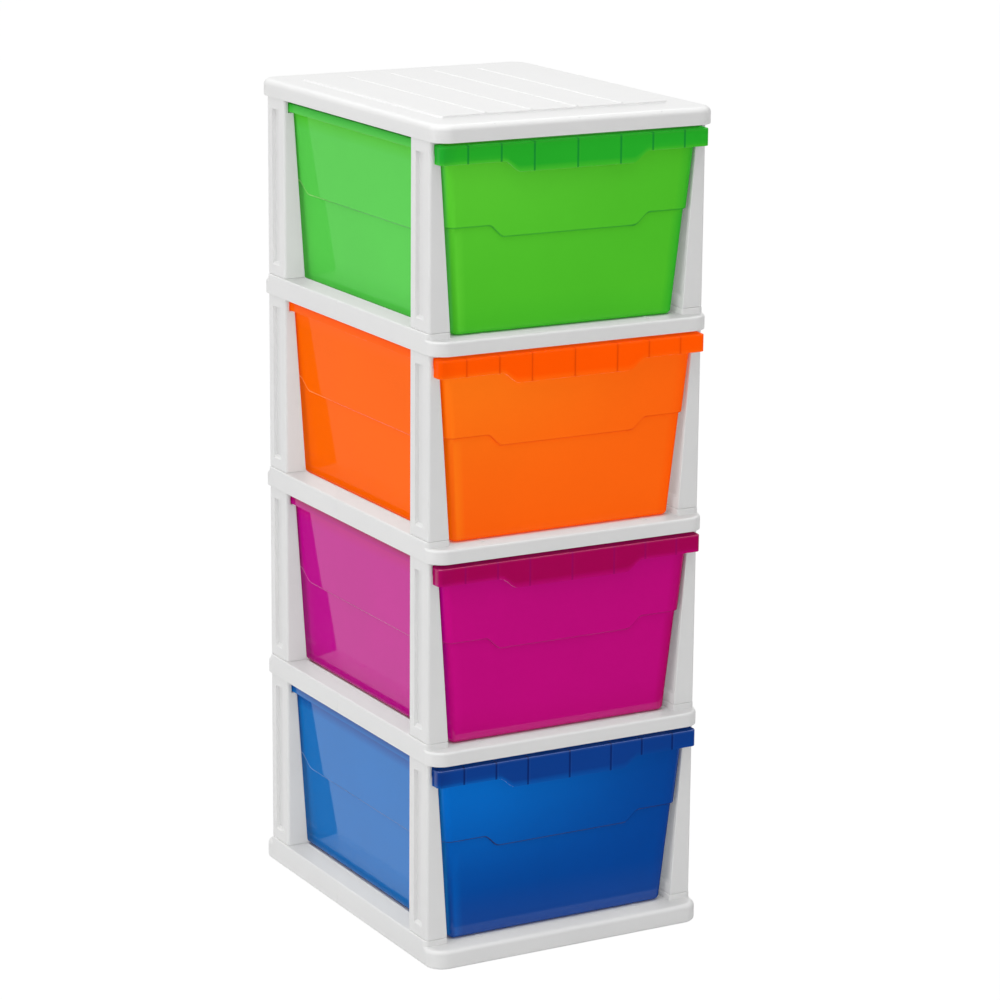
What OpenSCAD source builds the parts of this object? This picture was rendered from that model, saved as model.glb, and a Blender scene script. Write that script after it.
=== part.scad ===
// Tower of four pull-out drawers. Five moulded trays are stacked on sixteen hollow corner posts,
// and each bay holds one drawer that slides out to the front (-Y). Millimetres, +Z up, with the
// origin on the floor under the middle of the tower.

/* [Tower] */
// Width over the sides of the trays
tray_w = 371; // [330:1:420]
// Depth over the front and back ledges of the trays
tray_d = 458; // [420:1:500]
// Height of one bay, from the underside of a tray to the underside of the next
bay_h = 244.5; // [200:1:300]

/* [Trays] */
// Height of the deck above the underside of its tray
deck_z = 17.5; // [15:0.5:22]
// How much taller the base tray is than the trays above it
base_drop = 6; // [0:0.5:12]
// How far its ledges reach out past those above, front and back
base_out = 6; // [0:0.5:10]
// Height of the side rails that stand beside the drawer
rail_z = 25; // [23:0.5:32]
// Wall thickness of the trays, the lid and the posts
wall = 2.2; // [1.8:0.1:3]
// Rounding of the tray corners, seen from above
tray_r = 22; // [14:1:36]
// How far the ledge reaches out past the posts, front and back
ledge = 17; // [8:1:22]

/* [Lid] */
// Overhang of the lid past the shelf trays' ledges at the front and back
lid_end = 4.5; // [1:0.5:8]
// Overhang of the lid past the outer faces of the posts
lid_side = 0.8; // [0:0.1:4]
// Height of the lid, from its lower edge to the raised panel
lid_h = 23.5; // [20:0.5:32]
// Height of the raised panel on the lid
panel_h = 1; // [0.6:0.1:2]

/* [Posts] */
// Depth of a post from front to back
post_d = 47; // [36:1:60]
// Width of a post at its top end
post_top_w = 14.5; // [13:0.5:22]
// Width of a post where its front face meets the deck
post_foot_w = 30; // [26:0.5:36]
// Depth of the long recess in the outer face of a post
recess_t = 5.5; // [2:0.5:6]
// Length of the necks that plug into the trays
neck_h = 10; // [6:0.5:12]

/* [Drawers] */
// Gap between the foot of a drawer and the side rails
foot_play = 8; // [2:0.5:12]
// Gap between the top of a drawer's walls and the posts
post_play = 3; // [2:0.5:6]
// How far the foot of the front wall stands back behind the posts' front faces
foot_inset = 8.5; // [2:0.5:16]
// How far the top of the front wall stands out in front of them
front_proud = 2.8; // [2:0.1:8]
// Room behind a drawer, from the foot of its back wall to the back posts' back faces
back_room = 22; // [16:0.5:80]
// Wall thickness of a drawer
skin = 2; // [1.6:0.1:3]
// Outward step of the walls at half height
step_out = 3; // [1:0.5:4]
// Height of the front lip at its two ends
lip_end_h = 21; // [16:1:26]
// Height of the front lip along its deeper middle
lip_mid_h = 34; // [28:1:40]

/* [Hidden] */

levels = 4;
$fn = 48;
white = "#f2f2f0";
drawer_colours = ["#0b4a9c", "#b3127a", "#fd6512", "#4cb92b"];

gap = 0.3;                           // clearance between separate pieces
eps = 0.02;                          // overlap that joins two shapes of one piece
over = 1;                            // how far a cutter runs past the face that it opens
left = -1;
right = 1;
front = -1;
back = 1;

post_x = tray_w / 2 - 1.5;           // outer side face of the posts
post_y = tray_d / 2 - ledge;         // front face of the front posts
post_r = 5;                          // rounding of the outer vertical edge of a post
post_taper = (post_foot_w - post_top_w) / (bay_h - deck_z);
rail_in = post_x - post_width(rail_z);  // inner face of the side rails
rail_y = post_y - wall - gap;        // front and back ends of the side rails

lid_w = 2 * (post_x + lid_side);
lid_d = tray_d + 2 * lid_end;
panel_side = 34;                     // margin of the raised panel at the sides
panel_end = 56;                      // and at the front and back
panel_r = 3;
groove_w = 2;                        // grooves that divide the panel into five strips

recess_w = 19;
recess_low = 40;                     // height of the recess's lower end above the tray's underside
recess_top = 14;                     // distance of its upper end below the next tray

neck_y = post_y - post_d / 2;        // middle of a post in depth
neck_d = post_d - 4 * (wall + gap);
neck_in = post_x - post_top_w + wall + gap;     // inner face of the upper neck
neck_out = min(tray_w, lid_w) / 2 - wall - gap;  // outer face of both necks
foot_in = rail_in + wall + gap;      // inner face of the lower neck

glide_h = 0.5;                       // low ribs that the drawer slides on
glide_w = 4;
rib_t = 2;
rib_low = 5;                         // lower edge of the ribs under a shelf
rib_x = [-110, 0, 110];              // ribs that run from front to back
rib_y = [-150, 0, 150];              // ribs that run from side to side

drawer_z = deck_z + glide_h + gap;   // underside of a drawer above the tray's underside
drawer_r = 12;                       // vertical edges of a drawer
arc_steps = 6;                       // chords in each of them
floor_r = 4;                         // rounding between its floor and walls
lip_z = bay_h - 4;                   // top of the front lip
rim_z = bay_h - 7;                   // top of the rim around the drawer
rim_h = 8.5;
rim_low = rim_z - rim_h;             // lower edge of the rim
rim_x = post_x - post_width(rim_low) - 2 * gap;   // half its width, between the posts
rim_back = 8;                        // how far it stands out at the back
foot_x = rail_in - foot_play;        // half the width of the drawer at its floor
foot_front = -post_y + foot_inset;   // its front and back walls at the floor
foot_back = post_y - back_room;
draft_x = (post_x - post_width(rim_low) - post_play - step_out - foot_x) / (rim_low - drawer_z);
draft_y = (foot_inset + front_proud - step_out) / (rim_z - drawer_z);
step_low = 129.7;                    // height of the step line along the middle of a wall
step_high = 144;                     // and near the corners
part_z = step_high + skin;           // where the two solids of a drawer meet, above the step
step_corner_x = 93;                  // where the step line rises on the front and back
step_corner_y = 145;                 // and on the sides, from the middle of the drawer
lip_x = tray_w / 2 - 7;              // half the width of the lip
lip_y = tray_d / 2;                  // its front face
lip_r = 18;
lip_back = -wall_front(rim_z);       // its back edge, on the front wall
lip_rib_t = 1.5;
lip_rib_d = 4;
lip_ribs = [0, 57, 100, 143];        // distances of the ribs behind the lip from the middle
lip_bend = [75, 95];                 // where the lip's lower edge rises

// Height of a bay's zero level above the floor: the underside of a shelf tray at that level.
function level_z(level) = base_drop + level * bay_h;
// Width of a post at height z above its tray's underside.
function post_width(z) = post_foot_w - post_taper * (z - deck_z);
// Growth of a drawer's half width and half depth from its floor up to height z.
function lean_x(z) = draft_x * (z - drawer_z);
function lean_y(z) = draft_y * (z - drawer_z);
// Outer face of the front wall at height z, above the step.
function wall_front(z) = foot_front - lean_y(z) - step_out;

// Rectangle with round corners, centred on the origin.
module round_rect(w, d, r) {
  square([w - 2 * r, d], center = true);
  square([w, d - 2 * r], center = true);
  for (sx = [-1, 1], sy = [-1, 1])
    translate([sx * (w / 2 - r), sy * (d / 2 - r)]) circle(r);
}

// Box from one corner to the opposite one.
module block(low, high) {
  translate(low) cube(high - low);
}

// The four places of a corner feature that is drawn at the front left, as a mirrored copy each.
module at_corner(side, end) {
  mirror([side == right ? 1 : 0, 0, 0]) mirror([0, end == back ? 1 : 0, 0]) children();
}

module at_all_corners() {
  for (side = [left, right], end = [front, back]) at_corner(side, end) children();
}

// Socket under a tray or the lid for the upper neck of a post, drawn at the front left.
module socket(top) {
  difference() {
    block([-neck_out - gap - wall / 2, -neck_y - neck_d / 2 - wall - gap, 0],
          [-neck_in + wall + gap, -neck_y + neck_d / 2 + wall + gap, top]);
    block([-neck_out - gap, -neck_y - neck_d / 2 - gap, -over],
          [-neck_in + gap, -neck_y + neck_d / 2 + gap, neck_h + 2]);
  }
}

// Tray with its underside at z = bottom. Ribs stiffen its deck from below and, under the base
// tray, reach down to the floor.
module tray(depth, bottom, rib_bottom) {
  difference() {
    union() {
      translate([0, 0, bottom]) linear_extrude(deck_z - bottom) round_rect(tray_w, depth, tray_r);
      for (side = [left, right])
        mirror([side == right ? 1 : 0, 0, 0])
          block([-tray_w / 2, -rail_y, bottom], [-rail_in, rail_y, rail_z]);
    }
    // hollow underside of the deck
    translate([0, 0, bottom - over])
      linear_extrude(deck_z - wall - bottom + over)
        round_rect(tray_w - 2 * wall, depth - 2 * wall, tray_r - wall);
    for (side = [left, right])
      mirror([side == right ? 1 : 0, 0, 0])
        // hollow underside of the rail
        block([-tray_w / 2 + wall, -rail_y + wall, bottom - over],
              [-rail_in - wall, rail_y - wall, rail_z - wall]);
    // openings in the rails for the lower necks of the posts
    at_all_corners()
      block([-neck_out - gap, -neck_y - neck_d / 2 - gap, rail_z - wall - over],
            [-foot_in + gap, -neck_y + neck_d / 2 + gap, rail_z + over]);
  }
  // low ribs that the drawer slides on
  for (side = [left, right], x = side * rib_x[2])
    block([x - glide_w / 2, -post_y, deck_z - eps], [x + glide_w / 2, post_y, deck_z + glide_h]);
  // stiffening ribs under the deck
  for (x = rib_x)
    block([x - rib_t / 2, -depth / 2 + wall / 2, rib_bottom],
          [x + rib_t / 2, depth / 2 - wall / 2, deck_z - wall / 2]);
  for (y = rib_y)
    block([-tray_w / 2 + wall / 2, y - rib_t / 2, rib_bottom],
          [tray_w / 2 - wall / 2, y + rib_t / 2, deck_z - wall / 2]);
}

module shelf_tray(level) {
  color(white) translate([0, 0, level_z(level)]) {
    tray(tray_d, 0, rib_low);
    at_all_corners() socket(deck_z - wall);
  }
}

module base_tray() {
  color(white) translate([0, 0, level_z(0)]) tray(tray_d + 2 * base_out, -base_drop, -base_drop);
}

// Lid: skirt, top plate, raised panel with four grooves, and a socket for each post below.
module top_lid() {
  top = lid_h - panel_h;
  panel_w = lid_w - 2 * panel_side;
  panel_d = lid_d - 2 * panel_end;
  color(white) translate([0, 0, level_z(levels)]) {
    difference() {
      union() {
        linear_extrude(top) round_rect(lid_w, lid_d, tray_r);
        linear_extrude(lid_h) round_rect(panel_w, panel_d, panel_r);
      }
      translate([0, 0, -over])
        linear_extrude(top - wall + over)
          round_rect(lid_w - 2 * wall, lid_d - 2 * wall, tray_r - wall);
      for (i = [-1.5, -0.5, 0.5, 1.5])
        block([i * panel_w / 5 - groove_w / 2, -panel_d / 2 + groove_w, top],
              [i * panel_w / 5 + groove_w / 2, panel_d / 2 - groove_w, lid_h + over]);
    }
    at_all_corners() socket(top - wall + eps);
    for (x = rib_x)
      block([x - rib_t / 2, -lid_d / 2 + wall / 2, rib_low],
            [x + rib_t / 2, lid_d / 2 - wall / 2, top - wall / 2]);
  }
}

// Outline of a post seen from the front, between heights low and high, moved in by t all round.
module post_face(low, high, t) {
  polygon([[-post_x + t, low], [-post_x + t, high],
           [-post_x + post_width(high) - t, high], [-post_x + post_width(low) - t, low]]);
}

// A front profile made solid from depth y0 to y1.
module to_depth(y0, y1) {
  translate([0, y1, 0]) rotate([90, 0, 0]) linear_extrude(y1 - y0) children();
}

// Post at the front left, standing on the tray whose underside is at z = 0. It is hollow, and
// a neck at either end plugs into the trays.
module post() {
  y0 = -post_y;
  y1 = -post_y + post_d;
  corner = [-post_x, y0];
  difference() {
    union() {
      intersection() {
        union() {
          to_depth(y0, y1) post_face(rail_z, bay_h, 0);
          // the front face reaches down past the end of the rail to the deck
          to_depth(y0, y0 + wall) post_face(deck_z, bay_h, 0);
        }
        // round outer vertical edges
        translate([corner[0] + tray_w / 2, corner[1] + post_d / 2, 0])
          linear_extrude(bay_h) round_rect(tray_w, post_d, post_r);
      }
      block([-neck_out, -neck_y - neck_d / 2, bay_h - eps],
            [-neck_in, -neck_y + neck_d / 2, bay_h + neck_h]);
      block([-neck_out, -neck_y - neck_d / 2, deck_z + gap],
            [-foot_in, -neck_y + neck_d / 2, rail_z + eps]);
    }
    // hollow inside, left solid behind the recess
    difference() {
      to_depth(y0 + wall, y1 - wall) post_face(rail_z + wall, bay_h - wall, wall);
      block([-post_x, -neck_y - recess_w / 2 - wall, recess_low - wall],
            [-post_x + recess_t + wall, -neck_y + recess_w / 2 + wall,
             bay_h - recess_top + wall]);
    }
    neck_bore(neck_in, bay_h - wall - over, bay_h + neck_h + over);
    neck_bore(foot_in, deck_z - over, rail_z + wall + over);
    // long recess in the outer face
    block([-post_x - over, -neck_y - recess_w / 2, recess_low],
          [-post_x + recess_t, -neck_y + recess_w / 2, bay_h - recess_top]);
  }
}

// Opening through a neck whose inner side lies at x = -inner.
module neck_bore(inner, low, high) {
  block([-neck_out + wall, -neck_y - neck_d / 2 + wall, low],
        [-inner - wall, -neck_y + neck_d / 2 - wall, high]);
}

module tower_post(level, side, end) {
  color(white) translate([0, 0, level_z(level)]) at_corner(side, end) post();
}

// Outline of a drawer's walls at height z, grown outward by grow: round corners of arc_steps chords.
function drawer_ring(z, grow) =
  let (half_w = foot_x + lean_x(z) + grow,
       half_d = (foot_back - foot_front) / 2 + lean_y(z) + grow,
       y_mid = (foot_front + foot_back) / 2)
  [for (quarter = [0:3], i = [0:arc_steps])
    let (angle = 90 * (quarter + i / arc_steps),
         cx = (quarter == 0 || quarter == 3 ? 1 : -1) * (half_w - drawer_r),
         cy = (quarter < 2 ? 1 : -1) * (half_d - drawer_r))
    [cx + drawer_r * cos(angle), y_mid + cy + drawer_r * sin(angle), z]];

// Solid through outlines that lie above each other, lowest first.
module loft(rings) {
  n = len(rings[0]);
  sides = [for (k = [0:len(rings) - 2], i = [0:n - 1])
    [k * n + i, (k + 1) * n + i, (k + 1) * n + (i + 1) % n, k * n + (i + 1) % n]];
  polyhedron(
    points = [for (ring = rings) for (point = ring) point],
    faces = concat([[for (i = [0:n - 1]) i]], sides,
                   [[for (i = [n - 1:-1:0]) (len(rings) - 1) * n + i]]));
}

// Drafted block between two heights; its lower edge is rounded by r.
module drawer_block(low, high, grow, r = 0) {
  edge = r == 0 ? [drawer_ring(low, grow)]
    : [for (angle = [0, 45, 90]) drawer_ring(low + r * (1 - cos(angle)), grow - r * (1 - sin(angle)))];
  loft(concat(edge, [drawer_ring(high, grow)]));
}

// Profile of the front lip: its lower edge is deeper along the middle.
module lip_face() {
  polygon([[-lip_x, lip_z], [-lip_x, lip_z - lip_end_h], [-lip_bend[1], lip_z - lip_end_h],
           [-lip_bend[0], lip_z - lip_mid_h], [lip_bend[0], lip_z - lip_mid_h],
           [lip_bend[1], lip_z - lip_end_h], [lip_x, lip_z - lip_end_h], [lip_x, lip_z]]);
}

// Front lip that the fingers reach behind, with ribs on its back. It is moulded in one piece with
// the drawer, and is a solid of its own so that the gap behind it stays open to collisions.
module lip() {
  depth = 120;
  intersection() {
    difference() {
      translate([0, -lip_y + depth / 2, 0])
        linear_extrude(lip_z) round_rect(2 * lip_x, depth, lip_r);
      translate([0, -lip_y + depth / 2, 0])
        linear_extrude(lip_z - skin) round_rect(2 * (lip_x - skin), depth - 2 * skin, lip_r - skin);
    }
    to_depth(-lip_y, -lip_back) lip_face();
  }
  intersection() {
    for (x = lip_ribs, side = [left, right])
      block([side * x - lip_rib_t / 2, -lip_y + skin / 2, 0],
            [side * x + lip_rib_t / 2, -lip_y + skin + lip_rib_d, lip_z - skin / 2]);
    to_depth(-lip_y, -lip_back) lip_face();
  }
}

// Drawer in its bay, with the underside of its tray at z = 0.
module drawer() {
  y_mid = (foot_front + foot_back) / 2;
  y_front = wall_front(rim_z);
  y_back = foot_back + lean_y(rim_z) + step_out;
  difference() {
    union() {
      drawer_block(drawer_z, step_high, 0, floor_r);
      // upper part of the walls, one step further out; the step is higher at the corners
      difference() {
        drawer_block(step_low, rim_z, step_out);
        for (side = [left, right], end = [front, back])
          translate([side * (step_corner_x + tray_w / 2), y_mid + end * (step_corner_y + tray_d / 2),
                     (step_low + step_high) / 2 - over])
            cube([tray_w, tray_d, step_high - step_low + 2 * over], center = true);
      }
      // rim at the sides and back
      translate([0, (y_front + y_back + rim_back) / 2, rim_low])
        linear_extrude(rim_h) round_rect(2 * rim_x, y_back + rim_back - y_front, drawer_r);
      // front wall up to the lip
      block([-rim_x + drawer_r, y_front, rim_low], [rim_x - drawer_r, y_front + 5, lip_z]);
    }
    // inside of the drawer, below and above the step
    drawer_block(drawer_z + skin, step_high + floor_r, -skin, floor_r);
    drawer_block(part_z, lip_z + over, step_out - skin);
  }
}

// Part of a drawer between two heights. The bin with its floor and the upper walls with the rim
// are moulded in one piece, and are solids of their own so that the inside stays open to
// collisions.
module drawer_part(low, high) {
  intersection() {
    drawer();
    block([-tray_w / 2, -tray_d / 2, low], [tray_w / 2, tray_d / 2, high]);
  }
}

module tower_drawer(level) {
  color(drawer_colours[level]) translate([0, 0, level_z(level)]) drawer_part(0, part_z);
}

module tower_rim(level) {
  color(drawer_colours[level]) translate([0, 0, level_z(level)]) drawer_part(part_z, bay_h);
}

module tower_lip(level) {
  color(drawer_colours[level]) translate([0, 0, level_z(level)]) lip();
}

base_tray();
shelf_tray(1);  // shelf_tray_1
shelf_tray(2);  // shelf_tray_2
shelf_tray(3);  // shelf_tray_3
top_lid();
tower_post(0, left, front);  // post_1_front_left
tower_post(0, right, front);  // post_1_front_right
tower_post(0, left, back);  // post_1_back_left
tower_post(0, right, back);  // post_1_back_right
tower_post(1, left, front);  // post_2_front_left
tower_post(1, right, front);  // post_2_front_right
tower_post(1, left, back);  // post_2_back_left
tower_post(1, right, back);  // post_2_back_right
tower_post(2, left, front);  // post_3_front_left
tower_post(2, right, front);  // post_3_front_right
tower_post(2, left, back);  // post_3_back_left
tower_post(2, right, back);  // post_3_back_right
tower_post(3, left, front);  // post_4_front_left
tower_post(3, right, front);  // post_4_front_right
tower_post(3, left, back);  // post_4_back_left
tower_post(3, right, back);  // post_4_back_right
tower_drawer(0);  // drawer_1
tower_drawer(1);  // drawer_2
tower_drawer(2);  // drawer_3
tower_drawer(3);  // drawer_4
tower_rim(0);  // drawer_1_rim
tower_rim(1);  // drawer_2_rim
tower_rim(2);  // drawer_3_rim
tower_rim(3);  // drawer_4_rim
tower_lip(0);  // drawer_1_lip
tower_lip(1);  // drawer_2_lip
tower_lip(2);  // drawer_3_lip
tower_lip(3);  // drawer_4_lip
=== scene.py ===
import math

import bmesh
import bpy
from mathutils import Matrix, Vector


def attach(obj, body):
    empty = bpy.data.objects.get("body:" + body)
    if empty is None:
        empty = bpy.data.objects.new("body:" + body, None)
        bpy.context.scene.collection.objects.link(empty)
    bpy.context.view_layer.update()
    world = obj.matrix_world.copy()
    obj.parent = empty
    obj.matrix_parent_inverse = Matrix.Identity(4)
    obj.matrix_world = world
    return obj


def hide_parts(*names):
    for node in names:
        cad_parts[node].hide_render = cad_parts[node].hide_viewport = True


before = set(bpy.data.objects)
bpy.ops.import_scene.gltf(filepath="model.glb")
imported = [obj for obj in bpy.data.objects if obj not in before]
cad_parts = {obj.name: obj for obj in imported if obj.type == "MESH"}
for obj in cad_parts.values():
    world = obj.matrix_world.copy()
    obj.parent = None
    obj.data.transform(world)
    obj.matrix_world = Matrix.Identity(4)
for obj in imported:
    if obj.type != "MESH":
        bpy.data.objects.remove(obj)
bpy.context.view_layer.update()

# ---------------------------------------------------------------------------------------------
# Shelf trays and base tray. Each is one injection moulding in white polypropylene: a deck with a
# ledge at the front and back, and a raised rail along each side that the corner posts plug into.
# The base tray is taller and deeper, with rounder edges. A fine parting line crosses each side.

TRAY_W, TRAY_D, TRAY_R = 371.0, 458.0, 22.0
BASE_D, BASE_DROP = 470.0, 6.0
BAY_H, DECK_Z, RAIL_Z, WALL = 244.5, 17.5, 25.0, 2.2
RAIL_IN, RAIL_END, RAIL_FADE, RAIL_R = 154.5, 212.0, 8.0, 2.0
RAIL_OUTER_R, RAIL_INNER_R, RAIL_SET_IN = 8.0, 2.4, 0.05
CRISP_R = 0.2
RIB_X, RIB_Y, RIB_T = 110.0, 150.0, 2.0
GLIDE_W, GLIDE_H = 4.0, 1.0
# the parting line across a side: its place, then its section as distance from it and depth
PARTING_Y = 19.0
PARTING = [(-0.5, 0), (-0.2, 0.4), (0.2, 0.4), (0.5, 0)]


def plan(corners, steps=8):
    """Closed outline through rounded corners (x, y, radius), as points with outward normals."""
    out = []
    count = len(corners)
    for k, (x, y, r) in enumerate(corners):
        here = Vector((x, y))
        to_last = (Vector(corners[k - 1][:2]) - here).normalized()
        to_next = (Vector(corners[(k + 1) % count][:2]) - here).normalized()
        half = to_last.angle(to_next) / 2
        middle = here + (to_last + to_next).normalized() * (r / math.sin(half))
        start = here + to_last * (r / math.tan(half)) - middle
        end = here + to_next * (r / math.tan(half)) - middle
        swing = start.angle_signed(end)
        for i in range(steps + 1):
            angle = -swing * i / steps
            arm = Vector((start.x * math.cos(angle) - start.y * math.sin(angle),
                          start.x * math.sin(angle) + start.y * math.cos(angle)))
            out.append((middle + arm, arm.normalized()))
    return out


def box_plan(x0, x1, y0, y1, r, steps=8):
    return plan([(x1, y0, r), (x1, y1, r), (x0, y1, r), (x0, y0, r)], steps)


def loop(outline, z, inset=0.0):
    """One ring of an outline at height z; z and inset may be numbers or functions of a point."""
    ring = []
    for point, normal in outline:
        depth = inset(point) if callable(inset) else inset
        high = z(point) if callable(z) else z
        ring.append((point.x - normal.x * depth, point.y - normal.y * depth, high))
    return ring


def skin(bm, rings, low_cap=True, high_cap=True):
    """Quads between closed rings of equal length, in millimetres, with the two ends capped."""
    rows = [[bm.verts.new(Vector(p) * 0.001) for p in ring] for ring in rings]
    count = len(rows[0])
    for a, b in zip(rows, rows[1:]):
        for i in range(count):
            j = (i + 1) % count
            bm.faces.new((a[i], a[j], b[j], b[i]))
    if low_cap:
        bm.faces.new(list(reversed(rows[0])))
    if high_cap:
        bm.faces.new(rows[-1])
    return rows


def box(bm, x0, x1, y0, y1, z0, z1):
    ring = [(x0, y0), (x1, y0), (x1, y1), (x0, y1)]
    skin(bm, [[(x, y, z) for x, y in ring] for z in (z0, z1)])


def piece(name, bm, material, body, nodes, sharp=38):
    """Makes the finished object of a moulding, shaded smooth except at its crisp edges."""
    bmesh.ops.remove_doubles(bm, verts=bm.verts, dist=1e-6)
    bmesh.ops.recalc_face_normals(bm, faces=bm.faces)
    for face in bm.faces:
        face.smooth = True
    for edge in bm.edges:
        if len(edge.link_faces) == 2 and edge.calc_face_angle() > math.radians(sharp):
            edge.smooth = False
    mesh = bpy.data.meshes.new(name)
    bm.to_mesh(mesh)
    bm.free()
    mesh.materials.append(material)
    made = bpy.data.objects.new(name, mesh)
    bpy.context.scene.collection.objects.link(made)
    flat = made.modifiers.new("even shading on flats", "WEIGHTED_NORMAL")
    flat.keep_sharp = True
    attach(made, body)
    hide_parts(*nodes)
    return made


def linear(code):
    """sRGB hex to linear colour."""
    parts = [int(code[i:i + 2], 16) / 255 for i in (1, 3, 5)]
    return [p / 12.92 if p <= 0.04045 else ((p + 0.055) / 1.055) ** 2.4 for p in parts] + [1.0]


def add(tree, kind, settings=None, **inputs):
    """Adds a node; an input is a value, or the node or socket that feeds it. A key such as i0
    is the number of an input."""
    node = tree.nodes.new(kind)
    for key, value in (settings or {}).items():
        setattr(node, key, value)
    for key, value in inputs.items():
        name = key.replace("_", " ")
        socket = next((s for s in node.inputs if s.name == name and s.enabled), None)
        if socket is None:
            socket = node.inputs[int(key[1:])]
        if isinstance(value, bpy.types.Node):
            value = next(s for s in value.outputs if s.enabled)
        if isinstance(value, bpy.types.NodeSocket):
            tree.links.new(value, socket)
        else:
            socket.default_value = value
    return node


# White polypropylene, injection moulded in a polished tool that has gone slightly satin: bright,
# with a soft sheen, faint flow clouds in its whiteness about 110 mm across, and a grain of about
# 1 mm, coarser than the real one so that it shows. Its image in the drawers' gloss is painted
# darker, a painted shade in reflections, most of all that of upright faces.
def white_polypropylene():
    material = bpy.data.materials.new("white moulded polypropylene")
    material.use_nodes = True
    tree = material.node_tree
    tree.nodes.clear()
    where = add(tree, "ShaderNodeTexCoord").outputs["Object"]
    clouds = add(tree, "ShaderNodeTexNoise", Vector=where, Scale=9.0, Detail=3.0, Roughness=0.55)
    grain = add(tree, "ShaderNodeTexNoise", Vector=where, Scale=900.0, Detail=2.0, Roughness=0.6)
    tone = add(tree, "ShaderNodeMix", {"data_type": "RGBA"}, Factor=clouds,
               A=linear("#F3F3F2"), B=linear("#EDEDED"))
    # painted shade in reflections: seen by glossy rays the white turns towards dark grey, less on
    # faces that look up
    rays = add(tree, "ShaderNodeLightPath").outputs
    facing = add(tree, "ShaderNodeSeparateXYZ",
                 Vector=add(tree, "ShaderNodeTexCoord").outputs["Normal"])
    reflected_shade = add(tree, "ShaderNodeMapRange", Value=facing.outputs["Z"], From_Min=0.3, From_Max=0.8,
                To_Min=0.9, To_Max=0.35)
    mirrored = add(tree, "ShaderNodeMath", {"operation": "MULTIPLY"}, i0=rays["Is Glossy Ray"],
                   i1=reflected_shade)
    tone = add(tree, "ShaderNodeMix", {"data_type": "RGBA"}, Factor=mirrored, A=tone,
               B=linear("#202020"))
    sheen = add(tree, "ShaderNodeMapRange", Value=clouds, To_Min=0.28, To_Max=0.34)
    bump = add(tree, "ShaderNodeBump", Strength=0.05, Distance=0.0002, Height=grain)
    plastic = add(tree, "ShaderNodeBsdfPrincipled", Base_Color=tone,
                  Roughness=sheen, IOR=1.49, Normal=bump)
    add(tree, "ShaderNodeOutputMaterial", Surface=plastic)
    return material


WHITE = white_polypropylene()


def rib_row_tree():
    """Geometry Nodes: a row of equal straight ribs."""
    tree = bpy.data.node_groups.new("row of ribs", "GeometryNodeTree")
    for name, kind in (("Count", "NodeSocketInt"), ("First", "NodeSocketVector"),
                       ("Step", "NodeSocketVector"), ("Size", "NodeSocketVector"),
                       ("Plastic", "NodeSocketMaterial")):
        tree.interface.new_socket(name, in_out="INPUT", socket_type=kind)
    tree.interface.new_socket("Ribs", in_out="OUTPUT", socket_type="NodeSocketGeometry")
    given = add(tree, "NodeGroupInput").outputs
    line = add(tree, "GeometryNodeMeshLine", {"mode": "OFFSET"}, Count=given["Count"],
               Start_Location=given["First"], Offset=given["Step"])
    rib = add(tree, "GeometryNodeMeshCube", Size=given["Size"])
    row = add(tree, "GeometryNodeInstanceOnPoints", Points=line, Instance=rib)
    real = add(tree, "GeometryNodeRealizeInstances", Geometry=row)
    coated = add(tree, "GeometryNodeSetMaterial", Geometry=real, Material=given["Plastic"])
    add(tree, "NodeGroupOutput", i0=coated)
    return tree


RIB_ROW = rib_row_tree()


def take(bm, tree, values):
    """Runs a Geometry Nodes tree with the given inputs and adds its mesh to a moulding."""
    holder = bpy.data.objects.new("repeated", bpy.data.meshes.new("repeated"))
    bpy.context.scene.collection.objects.link(holder)
    modifier = holder.modifiers.new("repeated", "NODES")
    modifier.node_group = tree
    for item in tree.interface.items_tree:
        if item.in_out == "INPUT":
            modifier[item.identifier] = values[item.name]
    bpy.context.view_layer.update()
    ready = holder.evaluated_get(bpy.context.evaluated_depsgraph_get())
    mesh = bpy.data.meshes.new_from_object(ready)
    bpy.data.objects.remove(holder)
    bm.from_mesh(mesh)
    bpy.data.meshes.remove(mesh)


def rib_row(bm, count, first, step, size, material=WHITE):
    """Adds a row of ribs to a moulding; all lengths in millimetres."""
    take(bm, RIB_ROW, {"Count": count, "First": [v * 0.001 for v in first],
                       "Step": [v * 0.001 for v in step], "Size": [v * 0.001 for v in size],
                       "Plastic": material})


def arc(r, steps=4):
    """(inset, drop) of a rounded edge, from the side face up to the flat."""
    angles = [math.pi / 2 * i / steps for i in range(steps + 1)]
    return [(r * (1 - math.cos(a)), r * (1 - math.sin(a))) for a in angles]


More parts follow.
